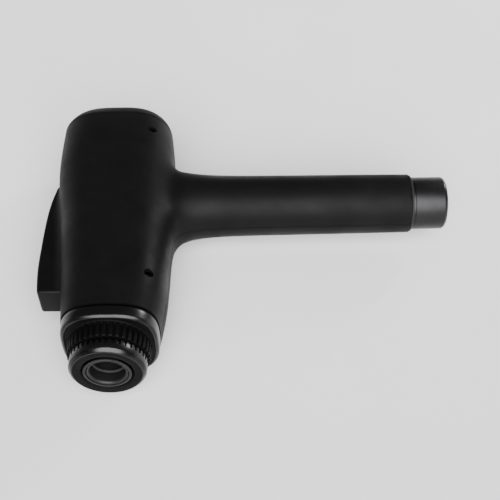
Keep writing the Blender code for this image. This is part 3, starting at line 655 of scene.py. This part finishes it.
def make_spine():
    """The raised strip: an arched top over straight sides, with every outer edge rounded."""
    steps = 48
    outline = [(SPINE_HIGH.x, SPINE_HIGH.y), (SPINE_HIGH.x, SPINE_LOW.y)]
    for i in range(steps + 1):
        y = SPINE_LOW.y + (SPINE_HIGH.y - SPINE_LOW.y) * i / steps
        outline.append((spine_top(y), y))
    corners = [(x, y, -SPINE_HALF) for x, y in outline]
    spine = swept("top_spine_fine", corners, (0.0, 0.0, 2 * SPINE_HALF))
    round_edges(spine, 0.0022, 6, 40.0)
    smooth(spine, 30.0)
    paint(spine, "spine")
    return take_over(spine, "casing", "spine", "top_spine")


def make_screw(name, x, y, seat):
    """Blackened pan-head screw with a cross recess, at the bottom of its hole in the left shell."""
    top = seat + SCREW_HEAD_HEIGHT
    under = seat + CAD_GAP
    profile = [(0.0, top), (SCREW_HEAD_R * 0.55, top - 0.0001), (SCREW_HEAD_R, top - 0.0009),
               (SCREW_HEAD_R, under), (SCREW_SHANK_R, under), (SCREW_SHANK_R, SCREW_END + 0.0012),
               (0.0, SCREW_END)]
    profile = softened(profile, 0.0002, closed=False)
    screw = turned(f"{name}_fine", profile, "side", (x, y, 0.0), SMALL, closed=False)
    cross_half, slot_half = 0.0016, 0.00042
    for half_x, half_y in ((cross_half, slot_half), (slot_half, cross_half)):
        floor = top - 0.0011
        arm = block("recess_arm", (x - half_x, y - half_y, floor), (x + half_x, y + half_y, top + 0.03))
        combine(screw, arm, "DIFFERENCE")
    smooth(screw, 30.0)
    paint(screw, "screw")
    return take_over(screw, "casing", "steel", name)


# Nose --------------------------------------------------------------------------------------------

RIBS = 40
RIB_POINTS = 8             # points round the nose for each rib
SQUARENESS = 2.8           # superellipse exponent of the collar
VENT_R = 0.0240
VENT_INNER_R = 0.0172
NOSE_R = 0.0215
BORE_R = 0.0141
PISTON_R = 0.0135
PISTON_BODY_REAR = 0.0620  # forward distance where the round piston ends and its fork starts
SOCKET_R = 0.0098
SOCKET_DEPTH = 0.0270
FORK_HALF_X = 0.0080
FORK_HALF_Z = 0.0070
FORK_SLOT_HALF = 0.0026
PIN_BORE_R = 0.0033


def superellipse(half, exponent, count, y):
    """Points round a squared circle in the plane of Y."""
    points = []
    for i in range(count):
        angle = math.tau * i / count
        c, s = math.cos(angle), math.sin(angle)
        reach = half / (abs(c) ** exponent + abs(s) ** exponent) ** (1.0 / exponent)
        points.append((reach * c, y, reach * s))
    return points


def ribbed(radius, depth, y, land=0.30, slope=0.10):
    """A circle with RIBS grooves across it. land is half the rib's share of the pitch."""
    points = []
    count = RIBS * RIB_POINTS
    for i in range(count):
        across = abs((i / RIB_POINTS) % 1.0 - 0.5) * 2.0
        fall = min(max((across - land) / slope, 0.0), 1.0)
        groove = depth * (1.0 - fall * fall * (3.0 - 2.0 * fall))
        angle = math.tau * i / count
        reach = radius - groove
        points.append((reach * math.cos(angle), y, reach * math.sin(angle)))
    return points


COLLAR_RIM = COLLAR_OUTER - 0.0022     # inner edge of the collar's front rim
RECESS = 0.0012                        # depth of the recess inside that rim


def make_collar():
    """Satin band with a polished chamfer round its rear edge and its front edge."""
    outer = COLLAR_OUTER
    inner = VENT_R + CAD_GAP
    rear, front = -COLLAR_REAR, -COLLAR_FRONT
    sections = [
        (inner, 2.0, rear),
        (outer - 0.0013, SQUARENESS, rear),
        (outer - 0.0010, SQUARENESS, rear - 0.00008),
        (outer - 0.00012, SQUARENESS, rear - 0.00085),
        (outer, SQUARENESS, rear - 0.0012),
        (outer - 0.0001, SQUARENESS, rear - 0.0030),
        (outer - 0.0003, SQUARENESS, front + 0.0020),
        (outer - 0.00042, SQUARENESS, front + 0.00125),
        (outer - 0.0006, SQUARENESS, front + 0.0010),
        (outer - 0.0014, SQUARENESS, front + 0.00012),
        (outer - 0.0017, SQUARENESS, front),
        (COLLAR_RIM, SQUARENESS, front + 0.00005),
        (COLLAR_RIM, SQUARENESS, front + RECESS),
        (inner, 2.0, front + RECESS),
    ]
    loops = [superellipse(half, power, RIBS * RIB_POINTS, y) for half, power, y in sections]
    slots = [0, 1, 1, 1, 0, 0, 0, 0, 1, 1, 0, 0, 0, 0]
    collar = loft("collar_ring_fine", loops, slots)
    paint(collar, "collar", "polished")
    return take_over(collar, "casing", "collar", "collar_ring")


def make_vent():
    """Neck, dark as painted shade, with a flange in the collar's recess and forty axial ribs from there to
    the nose ring.
    """
    count = RIBS * RIB_POINTS
    start, end = -COLLAR_FRONT + CAD_GAP, -NOSE_REAR + CAD_GAP
    # the flange puts the neck's dark black into the collar's front recess, as a painted shadow there
    flange = COLLAR_RIM - 0.0002
    flange_rear = -COLLAR_FRONT + RECESS - CAD_GAP
    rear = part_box("vent_nose")[1].y - GUN.y
    sections = [
        superellipse(VENT_R - CAD_GAP, 2.0, count, rear),
        superellipse(VENT_R - CAD_GAP, 2.0, count, flange_rear),
        superellipse(flange, SQUARENESS, count, flange_rear),
        superellipse(flange, SQUARENESS, count, start + 0.0002),
        superellipse(flange - 0.0002, SQUARENESS, count, start),
        superellipse(VENT_R - 0.0001, 2.0, count, start),
        superellipse(VENT_R - 0.0005, 2.0, count, start - 0.0003),
        ribbed(VENT_R - 0.0006, 0.0004, start - 0.0005),
        ribbed(VENT_R - 0.0006, 0.0015, start - 0.0010),
        ribbed(VENT_R - 0.0009, 0.0015, (start + end) / 2),
        ribbed(VENT_R - 0.0012, 0.0015, end + 0.0006),
        ribbed(VENT_R - 0.0018, 0.0010, end),
        superellipse(VENT_INNER_R, 2.0, count, end),
        superellipse(VENT_INNER_R, 2.0, count, rear),
    ]
    vent = loft("vent_nose_fine", sections, [0] * len(sections))
    # the neck's black is painted darker than the casing's, as painted shade
    paint(vent, "vent")
    return take_over(vent, "casing", "vent", "vent_nose")


def make_nose_ring():
    """Gunmetal ring round the socket: notched round its rear edge, polished round its front edge."""
    count = RIBS * RIB_POINTS
    rear, front = -NOSE_REAR, -NOSE_FRONT

    def plain(radius, y):
        return superellipse(radius, 2.0, count, y)

    def notched(radius, depth, y):
        return ribbed(radius, depth, y, land=0.36, slope=0.12)

    sections = [
        plain(BORE_R + 0.0022, rear),
        notched(NOSE_R - 0.0012, 0.0004, rear),
        notched(NOSE_R - 0.0003, 0.0008, rear - 0.0004),
        notched(NOSE_R, 0.0009, rear - 0.0009),
        notched(NOSE_R, 0.0009, rear - 0.0030),
        notched(NOSE_R, 0.0003, rear - 0.0034),
        plain(NOSE_R, rear - 0.0037),
        plain(NOSE_R - 0.0001, front + 0.0021),
        plain(NOSE_R - 0.0003, front + 0.0017),
        plain(NOSE_R - 0.0016, front + 0.0003),
        plain(NOSE_R - 0.0020, front + 0.00006),
        plain(NOSE_R - 0.0024, front),
        plain(BORE_R + 0.0012, front),
        plain(BORE_R + 0.0009, front + 0.0001),
        plain(BORE_R + 0.0001, front + 0.0009),
        plain(BORE_R, front + 0.0012),
        plain(BORE_R, front + 0.0035),
        plain(BORE_R + 0.0022, front + 0.0035),
    ]
    # the front face and the bore take the neck's dark black, painted shade for the shadow over the nose's
    # front
    slots = [0] * 8 + [1, 1, 0] + [2] * 7
    ring = loft("nose_ring_fine", sections, slots)
    paint(ring, "collar", "polished", "vent")
    return take_over(ring, "casing", "collar", "nose_ring")


def node_ring(node):
    """Rear and front of a CAD ring, as distances forward of the handle's axis."""
    low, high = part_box(node)
    return GUN.y - high.y, GUN.y - low.y


def make_wiper():
    """Rubber lip round the piston, behind the nose ring's front."""
    rear, front = node_ring("wiper_seal")
    inner, outer = PISTON_R + CAD_GAP, BORE_R + 0.0018
    profile = [(outer, rear), (inner + 0.0006, rear), (inner, rear + 0.0008), (inner, front - 0.0004),
               (inner + 0.0005, front), (outer, front)]
    wiper = turned("wiper_seal_fine", softened(profile, 0.0002), "nose")
    paint(wiper, "rubber")
    return take_over(wiper, "casing", "rubber", "wiper_seal")


def make_piston():
    """Steel piston, painted dark as painted shade: socket bore in front, fork for the connecting rod behind.
    """
    bore = SOCKET_R + 0.0018
    floor = NOSE_FRONT - SOCKET_DEPTH - 0.0020
    wrist = middle("wrist_pin") - GUN
    profile = [(0.0, PISTON_BODY_REAR), (PISTON_R, PISTON_BODY_REAR), (PISTON_R, NOSE_FRONT),
               (bore, NOSE_FRONT), (bore, floor), (0.0, floor)]
    piston = turned("piston_fine", softened(profile, 0.0007, closed=False), "nose", closed=False)
    fork_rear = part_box("piston")[1].y - GUN.y
    fork = block("fork", (-FORK_HALF_X, -PISTON_BODY_REAR - 0.002, -FORK_HALF_Z),
                 (FORK_HALF_X, fork_rear, FORK_HALF_Z))
    combine(piston, fork, "UNION")
    slot = block("slot", (-0.03, wrist.y - 0.0084, -FORK_SLOT_HALF), (0.03, 0.0, FORK_SLOT_HALF))
    combine(piston, slot, "DIFFERENCE")
    bore = rod("wrist_bore", PIN_BORE_R, -0.02, 0.02, "side", (0.0, wrist.y, 0.0))
    combine(piston, bore, "DIFFERENCE")
    smooth(piston, 30.0)
    # the piston's dark steel colour is painted shade
    paint(piston, "steel_painted_dark")
    return take_over(piston, "piston", "steel", "piston")


def make_socket():
    """Nylon sleeve with a lead-in and a groove, and the O-ring that grips a head's shank."""
    rear, front = node_ring("socket_sleeve")
    ring_rear, ring_front = node_ring("socket_o_ring")
    groove_low, groove_high = ring_rear - CAD_GAP, ring_front + CAD_GAP
    outer = SOCKET_R + 0.0015
    deep = SOCKET_R + 0.0009
    profile = [(outer, rear), (SOCKET_R, rear), (SOCKET_R, groove_low), (deep, groove_low),
               (deep, groove_high), (SOCKET_R, groove_high), (SOCKET_R, front - 0.0009),
               (SOCKET_R + 0.0008, front), (outer, front)]
    sleeve = turned("socket_sleeve_fine", softened(profile, 0.00018), "nose")
    paint(sleeve, "inlet")
    take_over(sleeve, "piston", "inlet", "socket_sleeve")
    section = (ring_front - ring_rear) / 2
    centre = deep - CAD_GAP - section
    level = (ring_rear + ring_front) / 2
    angles = [math.tau * i / 20 for i in range(20)]
    profile = [(centre + section * math.cos(a), level + section * math.sin(a)) for a in angles]
    o_ring = turned("socket_o_ring_fine", profile, "nose")
    paint(o_ring, "rubber")
    take_over(o_ring, "piston", "rubber", "socket_o_ring")


# Controls ----------------------------------------------------------------------------------------

def make_light_ring(at):
    """Light guide round the button, its face all but flush with the rear cap."""
    face, back = node_ring("light_ring")
    inner = BUTTON_R + 0.0002
    profile = [(LIGHT_R, back), (inner, back), (inner, face + 0.0002), (inner + 0.0004, face),
               (LIGHT_R - 0.0003, face), (LIGHT_R, face + 0.0003)]
    light = turned("light_ring_fine", softened(profile, 0.00015), "nose", at)
    paint(light, "light")
    take_over(light, "casing", "light", "light_ring")


def make_power_button(at):
    """Dished button with a flange behind the light ring and a stem towards its switch."""
    face, stem_end = node_ring("power_button")
    stem_r, flange_r = 0.0022, 0.0084
    flange_low, flange_high = face + 0.0030, face + 0.0042
    profile = [(0.0, stem_end), (stem_r, stem_end), (stem_r, flange_high), (flange_r, flange_high),
               (flange_r, flange_low), (BUTTON_R, flange_low), (BUTTON_R, face + 0.0006),
               (BUTTON_R - 0.0006, face), (BUTTON_R - 0.0016, face + 0.0002), (0.0030, face + 0.0007),
               (0.0, face + 0.0008)]
    button = turned("power_button_fine", softened(profile, 0.00025, closed=False), "nose", at, closed=False)
    paint(button, "button")
    take_over(button, "button", "button", "power_button")


def make_controls():
    at = (CONTROL_X, 0.0, 0.0)
    make_light_ring(at)
    make_power_button(at)


# Handle's foot -----------------------------------------------------------------------------------

CAP_R = 0.0166
CAP_WALL = 0.0018
CAP_FLOOR = 0.0020
SEAL_R = 0.0180
INLET = middle("dc_inlet") - GUN
INLET_R = 0.0042
SWITCH_LOW, SWITCH_HIGH = (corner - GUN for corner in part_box("switch_housing"))
SWITCH_WALL = 0.0010
ROCKER_TILT = 10.0         # degrees off level, towards its off side
CHARGE_LIGHT = middle("charge_light") - GUN
CHARGE_LIGHT_R = 0.0011


def make_handle_cap():
    """Satin cup with a polished chamfer round its foot, and holes for the inlet, switch and light."""
    inner = CAP_R - CAP_WALL
    floor = CAP_END - CAP_FLOOR
    profile = [(0.0, CAP_END), (CAP_R - 0.0019, CAP_END), (CAP_R - 0.0017, CAP_END - 0.00005),
               (CAP_R - 0.0007, CAP_END - 0.0007), (CAP_R - 0.0001, CAP_END - 0.0018),
               (CAP_R, CAP_END - 0.0022), (CAP_R, CAP_START + 0.0016), (CAP_R - 0.0002, CAP_START + 0.0013),
               (CAP_R - 0.0002, CAP_START), (inner, CAP_START), (inner, floor), (0.0, floor)]
    slots = [0, 0, 1, 1] + [0] * 7
    cap = turned("handle_cap_fine", profile, "handle", steps=160, slots=slots, closed=False)
    paint(cap, "cap", "cap_edge")
    inside, outside = CAP_END - 0.0145, CAP_END + 0.0155
    inlet = rod("inlet_hole", INLET_R + HOLE_GAP, inside, outside, "handle", (0.0, INLET.y, 0.0))
    combine(cap, inlet, "DIFFERENCE")
    switch = block("switch_hole", (inside, SWITCH_LOW.y - HOLE_GAP, SWITCH_LOW.z - HOLE_GAP),
                   (outside, SWITCH_HIGH.y + HOLE_GAP, SWITCH_HIGH.z + HOLE_GAP))
    combine(cap, switch, "DIFFERENCE")
    at = (0.0, CHARGE_LIGHT.y, CHARGE_LIGHT.z)
    light = rod("light_hole", CHARGE_LIGHT_R + HOLE_GAP, inside, outside, "handle", at)
    combine(cap, light, "DIFFERENCE")
    smooth(cap, 30.0)
    take_over(cap, "casing", "cap", "handle_cap")


def make_cap_seal():
    """Rubber ring squeezed between the shells' foot and the cap."""
    start, end = HANDLE_END + CAD_GAP, CAP_START - 0.0001
    inner = CAP_R - CAP_WALL + CAD_GAP
    profile = [(inner, start), (inner, end), (SEAL_R - 0.0004, end), (SEAL_R, end - 0.0003),
               (SEAL_R, start + 0.0002), (SEAL_R - 0.0003, start)]
    seal = turned("cap_seal_fine", softened(profile, 0.0002), "handle")
    paint(seal, "rubber")
    take_over(seal, "casing", "rubber", "cap_seal")


def make_inlet():
    """Charging inlet: a nylon barrel round a steel pin."""
    face = CAP_END - 0.0002
    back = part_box("dc_inlet")[0].x - GUN.x
    pin, bore = 0.0007, 0.0028
    profile = [(0.0, face - 0.0012), (pin, face - 0.0012), (pin, back + 0.0015), (bore, back + 0.0015),
               (bore, face - 0.0005), (bore + 0.0004, face), (INLET_R, face), (INLET_R, back), (0.0, back)]
    profile = softened(profile, 0.00018, closed=False)
    inlet = turned("dc_inlet_fine", profile, "handle", (0.0, INLET.y, 0.0), SMALL, closed=False)
    for polygon in inlet.data.polygons:
        centre = polygon.center
        across = math.hypot(centre.y - INLET.y, centre.z)
        polygon.material_index = 1 if across < pin * 1.2 and centre.x > back + 0.0012 else 0
    paint(inlet, "inlet", "steel")
    take_over(inlet, "casing", "inlet", "dc_inlet")


def make_charge_light():
    low, high = (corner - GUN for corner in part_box("charge_light"))
    profile = [(0.0, high.x), (CHARGE_LIGHT_R - 0.0004, high.x - 0.0001), (CHARGE_LIGHT_R, high.x - 0.0005),
               (CHARGE_LIGHT_R, low.x), (0.0, low.x)]
    light = turned("charge_light_fine", softened(profile, 0.0002, closed=False), "handle",
                   (0.0, CHARGE_LIGHT.y, CHARGE_LIGHT.z), SMALL, closed=False)
    paint(light, "light")
    take_over(light, "casing", "light", "charge_light")


def make_switch_housing():
    """Open box with a rounded lip."""
    housing = block("switch_housing_fine", SWITCH_LOW, SWITCH_HIGH)
    pocket = block("pocket", (SWITCH_LOW.x + 0.003, SWITCH_LOW.y + SWITCH_WALL, SWITCH_LOW.z + SWITCH_WALL),
                   (CAP_END + 0.01, SWITCH_HIGH.y - SWITCH_WALL, SWITCH_HIGH.z - SWITCH_WALL))
    combine(housing, pocket, "DIFFERENCE")
    round_edges(housing, 0.00025, 3, 50.0)
    smooth(housing, 30.0)
    paint(housing, "inlet")
    take_over(housing, "casing", "inlet", "switch_housing")


def make_rocker():
    """Rocker with a hollowed top and a keel below, tilted to its off side."""
    pivot = Vector((CAP_END - 0.0050, (SWITCH_LOW.y + SWITCH_HIGH.y) / 2, 0.0))
    half_y = (SWITCH_HIGH.y - SWITCH_LOW.y) / 2 - SWITCH_WALL - CAD_GAP
    half_z = SWITCH_HIGH.z - SWITCH_WALL - 0.0007
    steps = 14
    face = []
    for i in range(steps + 1):
        z = half_z - 2 * half_z * i / steps
        share = abs(z) / half_z
        face.append((0.0022 + 0.0014 * share ** 1.4, z))
    outline = face + [(-0.0004, -half_z), (-0.0034, 0.0), (-0.0004, half_z)]
    rocker = swept("switch_rocker_fine", [(x, -half_y, z) for x, z in outline], (0.0, 2 * half_y, 0.0))
    tilt = Matrix.Rotation(math.radians(-ROCKER_TILT), 4, "Y")
    rocker.data.transform(Matrix.Translation(pivot) @ tilt)
    round_edges(rocker, 0.00025, 3, 50.0)
    smooth(rocker, 30.0)
    paint(rocker, "button")
    take_over(rocker, "rocker", "button", "switch_rocker")


# Inner CAD nodes keep their shape and take their finish -------------------------------------------

INNER = {
    "casting": ("drive_frame", "crank_wheel", "connecting_rod"),
    "steel": ("upper_bearing", "lower_bearing", "rotor_bell", "motor_shaft", "crank_pin", "big_end_bearing",
              "wrist_pin", "button_switch"),
    "copper": ("stator",),
    "bronze": ("guide_bush",),
    "rubber": ("front_damper", "rear_damper", "harness"),
    "circuit": ("control_board", "battery_board"),
    "cell": ("battery_cell_1", "battery_cell_2"),
    "inlet": ("battery_cradle",),
}


def paint_inner():
    for finish, names in INNER.items():
        for name in names:
            paint(PARTS[name], finish)


# Stage -------------------------------------------------------------------------------------------

HORIZON = 0.9                            # brightness of the surround at its foot
ABOVE = 0.16                             # and higher up
KEY_FROM = Vector((0.10, -0.76, 0.66))   # direction towards the broad key light
GLINT_PLACE = (0.86, 0.71, 0.46)
GLINT_AIM = (-0.08, -0.08, 0.05)

# The camera's place and aim from where the gun's axes meet
CAMERA_PLACE = Vector((0.0715, -0.3895, 0.3930))
CAMERA_AIM = Vector((0.0795, -0.0380, 0.0))
CAMERA_LENS = 62.0


def make_floor():
    finish = Finish("pale_floor", specular=0.2)
    cloud = finish.noise(6.0, 3.0, 0.5)
    share = finish.remap(cloud, 0.3, 0.7, 0.0, 1.0)
    finish.colour(finish.mix(share, (0.80, 0.80, 0.795), (0.84, 0.84, 0.835)))
    finish.roughness(finish.remap(cloud, 0.3, 0.7, 0.7, 0.8))
    bm = bmesh.new()
    bmesh.ops.create_grid(bm, x_segments=1, y_segments=1, size=12.0)
    floor = add_object("floor", mesh_of("floor", bm))
    floor.location = (0.0, 0.0, 0.0)
    floor.data.materials.append(finish.material)


def area_light(name, place, target, size, power):
    light = bpy.data.lights.new(name, "AREA")
    light.shape = "DISK"
    light.size = size
    light.energy = power
    obj = bpy.data.objects.new(name, light)
    bpy.context.scene.collection.objects.link(obj)
    obj.location = place
    obj.rotation_euler = (Vector(target) - Vector(place)).to_track_quat("-Z", "Y").to_euler()


def make_world():
    """Even studio surround: pale round the horizon and dim higher up."""
    world = bpy.data.worlds.new("studio")
    world.use_nodes = True
    nodes, links = world.node_tree.nodes, world.node_tree.links
    background = nodes["Background"]
    direction = nodes.new("ShaderNodeTexCoord")
    split = nodes.new("ShaderNodeSeparateXYZ")
    ramp = nodes.new("ShaderNodeValToRGB")
    links.new(direction.outputs["Generated"], split.inputs["Vector"])
    links.new(split.outputs["Z"], ramp.inputs["Fac"])
    links.new(ramp.outputs["Color"], background.inputs["Color"])
    ramp.color_ramp.elements[0].position = 0.03
    ramp.color_ramp.elements[0].color = (HORIZON, HORIZON, HORIZON * 1.02, 1.0)
    ramp.color_ramp.elements[1].position = 0.26
    ramp.color_ramp.elements[1].color = (ABOVE, ABOVE, ABOVE * 1.03, 1.0)
    background.inputs["Strength"].default_value = 1.0
    bpy.context.scene.world = world


def make_lights():
    key = bpy.data.lights.new("key", "SUN")
    key.energy = 9.0
    key.angle = math.radians(60.0)
    obj = bpy.data.objects.new("key", key)
    bpy.context.scene.collection.objects.link(obj)
    obj.rotation_euler = KEY_FROM.to_track_quat("Z", "Y").to_euler()
    area_light("glint", GLINT_PLACE, GLINT_AIM, 0.22, 6.0)


def make_camera():
    data = bpy.data.cameras.new("camera")
    data.sensor_width = 36.0
    data.lens = CAMERA_LENS
    data.clip_start = 0.01
    camera = bpy.data.objects.new("camera", data)
    bpy.context.scene.collection.objects.link(camera)
    camera.location = GUN + CAMERA_PLACE
    camera.rotation_euler = (CAMERA_AIM - CAMERA_PLACE).to_track_quat("-Z", "Y").to_euler()
    bpy.context.scene.camera = camera


def main():
    make_camera()
    make_shell("left_shell", 1.0)
    make_shell("right_shell", -1.0)
    make_rear_cap()
    make_spine()
    for name, (x, y, seat) in CASE_SCREWS.items():
        make_screw(name, x, y, seat)
    make_collar()
    make_vent()
    make_nose_ring()
    make_wiper()
    make_piston()
    make_socket()
    make_controls()
    make_handle_cap()
    make_cap_seal()
    make_inlet()
    make_charge_light()
    make_switch_housing()
    make_rocker()
    paint_inner()
    make_floor()
    make_world()
    make_lights()


main()
